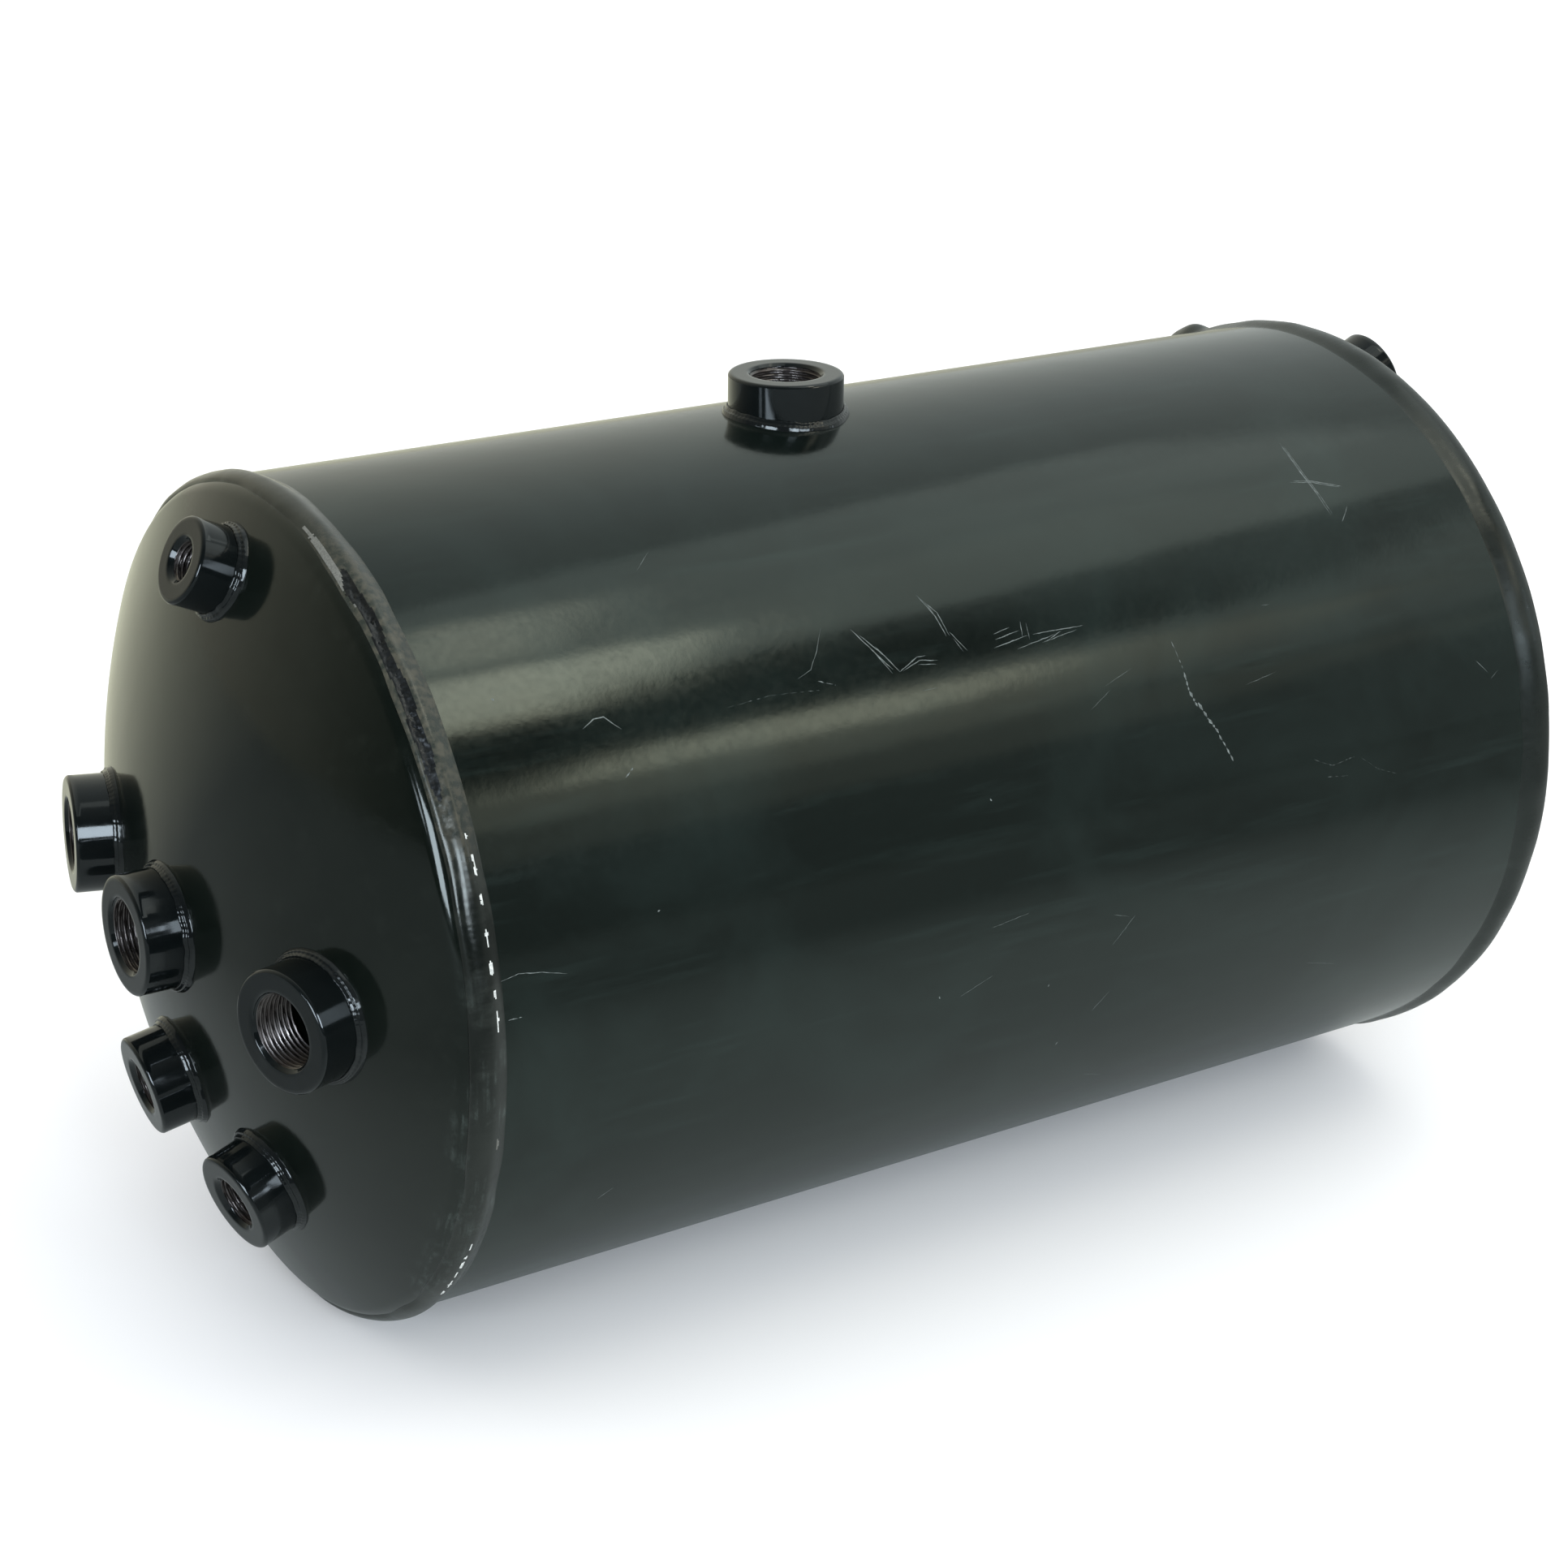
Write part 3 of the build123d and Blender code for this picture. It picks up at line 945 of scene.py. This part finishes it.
def make_camera():
    """Camera at the viewing angle, turned to look past the tank's centre."""
    back = Vector(
        (
            sin(CAMERA_AZIMUTH) * cos(CAMERA_ELEVATION),
            -cos(CAMERA_AZIMUTH) * cos(CAMERA_ELEVATION),
            sin(CAMERA_ELEVATION),
        )
    )
    level = Vector((cos(CAMERA_AZIMUTH), sin(CAMERA_AZIMUTH), 0))
    rise = back.cross(level)
    right = cos(CAMERA_ROLL) * level + sin(CAMERA_ROLL) * rise
    up = cos(CAMERA_ROLL) * rise - sin(CAMERA_ROLL) * level
    place = back * CAMERA_DISTANCE + right * CAMERA_SHIFT_RIGHT + up * CAMERA_SHIFT_UP
    data = bpy.data.cameras.new("camera")
    data.sensor_width = 36
    data.lens = LENS_MM
    camera = bpy.data.objects.new("camera", data)
    camera.matrix_world = Matrix.Translation(place) @ Matrix((right, up, back)).transposed().to_4x4()
    bpy.context.scene.collection.objects.link(camera)
    bpy.context.scene.camera = camera


# Colours of the floor as it is seen, and as the paint mirrors it.
PALE_FLOOR = ((0.91, 0.91, 0.91), (0.93, 0.93, 0.93))
MIRRORED_NEAR = (0.46, 0.49, 0.48)
MIRRORED_AWAY = (0.155, 0.165, 0.16)
MIRRORED_BEHIND = (0.60, 0.60, 0.46)


def make_floor():
    """Plain pale floor under the tank. The paint mirrors it darker than it is seen."""
    half = 9.0
    below = FLOOR_Z - 0.2 * MM
    corners = [(-half, -half, below), (half, -half, below), (half, half, below), (-half, half, below)]
    mesh = bpy.data.meshes.new("floor")
    mesh.from_pydata(corners, [], [(0, 1, 2, 3)])
    material, tree, shader = new_material("floor_pale")
    place = add_node(tree, "ShaderNodeTexCoord").outputs["Object"]
    tone = noise(tree, place, 3, detail=2)
    pale = blend_colours(tree, tone, *PALE_FLOOR)
    apart = {0: place, 1: (0.12, 0, FLOOR_Z)}
    away = add_node(tree, "ShaderNodeVectorMath", apart, operation="DISTANCE").outputs["Value"]
    dim = blend_colours(tree, mask(tree, away, 0.24, 0.58), MIRRORED_NEAR, MIRRORED_AWAY)
    outward = add_node(tree, "ShaderNodeVectorMath", {0: place}, operation="NORMALIZE").outputs[0]
    behind = mask(tree, dot_with(tree, outward, FAR_SIDE), 0.55, 0.95)
    dim = blend_colours(tree, behind, dim, MIRRORED_BEHIND)
    mirrored = add_node(tree, "ShaderNodeLightPath").outputs["Is Glossy Ray"]
    tree.links.new(blend_colours(tree, mirrored, pale, dim), shader.inputs["Base Color"])
    shader.inputs["Roughness"].default_value = 0.9
    shader.inputs["Specular IOR Level"].default_value = 0.1
    mesh.materials.append(material)
    floor = bpy.data.objects.new("floor", mesh)
    bpy.context.scene.collection.objects.link(floor)


def soft_light(name, place, rotation, size, radiance, colour):
    """Rectangular light, its width and height in metres."""
    data = bpy.data.lights.new(name, "AREA")
    data.shape = "RECTANGLE"
    data.size, data.size_y = size
    data.energy = radiance * pi * size[0] * size[1]
    data.color = colour
    light = bpy.data.objects.new(name, data)
    light.location = place
    light.rotation_euler = rotation
    bpy.context.scene.collection.objects.link(light)


def ceiling_light(name, x, y, size, radiance, colour, turn=0, below=0.0):
    """Light that faces down from the ceiling or a little below it, turned in degrees about
    the vertical."""
    soft_light(name, (x, y, CEILING - below), (0, 0, radians(turn)), size, radiance, colour)


def wall_light(name, azimuth, elevation, distance, size, radiance, colour):
    """Light that faces the tank, seen from it at an azimuth from -Y towards +X."""
    a, e = radians(azimuth), radians(elevation)
    place = distance * Vector((sin(a) * cos(e), -cos(a) * cos(e), sin(e)))
    soft_light(name, place, place.to_track_quat("Z", "Y").to_euler(), size, radiance, colour)


def make_sky(lighting, dark, bright):
    """Even surroundings for what they light. What mirrors them sees a room that is dark on the
    camera's side, bright behind the tank, and dim between the lights overhead."""
    world = bpy.data.worlds.new("studio")
    bpy.context.scene.world = world
    world.use_nodes = True
    tree = world.node_tree
    tree.nodes.clear()
    path = add_node(tree, "ShaderNodeLightPath")
    towards = add_node(tree, "ShaderNodeTexCoord").outputs["Generated"]
    level = spread(tree, dot_with(tree, towards, DARK_SIDE), 0.60, -0.75, dark, bright)
    overhead = spread(tree, dot_with(tree, towards, DARK_GAP), 0.965, 0.990, 1.0, 0.15)
    warmth = mask(tree, dot_with(tree, towards, WARM_SIDE), 0.0, 0.7)
    colour = blend_colours(tree, warmth, COOL_ROOM, WARM_ROOM)
    strength = combine(tree, "MULTIPLY", level, overhead)
    plain = add_node(tree, "ShaderNodeBackground", {"Color": (1, 1, 1, 1), "Strength": lighting})
    room = add_node(tree, "ShaderNodeBackground", {"Color": colour, "Strength": strength})
    mixed = add_node(
        tree,
        "ShaderNodeMixShader",
        {0: path.outputs["Is Glossy Ray"], 1: plain.outputs[0], 2: room.outputs[0]},
    )
    add_node(tree, "ShaderNodeOutputWorld", {"Surface": mixed.outputs[0]})


CEILING = 2.2
BELOW_GLOW = 0.02                 # the bright lights hang under the faint ones
GLOW_TURN = 32                    # degrees

# Directions from the tank, and colours.
DARK_SIDE = (-0.707, -0.707, 0.0)
DARK_GAP = (0.43, -0.55, 0.716)
WARM_SIDE = (-0.707, 0.707, 0.0)
FAR_SIDE = (0.10, 0.995, 0.0)
COOL_ROOM = (0.92, 1, 0.98)
WARM_ROOM = (1.03, 1, 0.80)
WARM = (1.10, 1.0, 0.81)
SOFT_WARM = (0.97, 1.0, 0.93)
NEUTRAL = (0.95, 1.0, 0.95)
COOL = (0.80, 0.90, 1.0)

make_camera()
make_floor()
make_sky(lighting=1.14, dark=0.02, bright=0.75)
ceiling_light("ceiling_glow", 1.10, -0.825, (1.90, 0.69), 0.80, SOFT_WARM, GLOW_TURN)
ceiling_light("ceiling_glow_2", 1.04, -0.25, (2.40, 0.345), 0.67, NEUTRAL, GLOW_TURN)
ceiling_light("ceiling_glow_3", 0.86, 0.04, (2.40, 0.345), 0.54, NEUTRAL, GLOW_TURN)
ceiling_light("ceiling_glow_4", 2.12, -0.19, (0.50, 0.69), 0.52, NEUTRAL, GLOW_TURN)
ceiling_light("main_light", 0.95, -1.05, (0.36, 0.70), 3.8, WARM, below=BELOW_GLOW)
ceiling_light("main_light_2", 0.83, -0.33, (0.20, 0.50), 2.1, WARM, below=BELOW_GLOW)
ceiling_light("second_light", 1.85, -2.48, (0.80, 0.56), 2.4, WARM, below=BELOW_GLOW)
ceiling_light("second_glow", 2.10, -2.95, (1.60, 1.50), 0.70, WARM)
ceiling_light("second_glow_2", 2.10, -2.08, (0.60, 0.24), 0.60, NEUTRAL)
ceiling_light("side_glow", 2.80, -1.50, (0.80, 1.30), 0.50, NEUTRAL)
ceiling_light("side_glow_2", 3.30, -2.85, (0.80, 1.30), 0.40, NEUTRAL)
ceiling_light("front_glow", 3.10, -4.60, (2.60, 1.90), 0.24, WARM)
wall_light("window_front", 9, 24, 4.0, (0.90, 0.60), 9.0, COOL)
wall_light("window_left", -10, 22, 4.2, (1.00, 1.50), 13.0, COOL)
wall_light("window_side", -60, 16, 4.0, (1.30, 1.50), 11.0, COOL)
wall_light("window_end", -81, 15, 4.0, (0.40, 0.40), 6.0, COOL)
wall_light("window_right", 56, 16, 4.0, (0.35, 0.35), 4.0, COOL)

bpy.context.scene.view_settings.view_transform = "Standard"
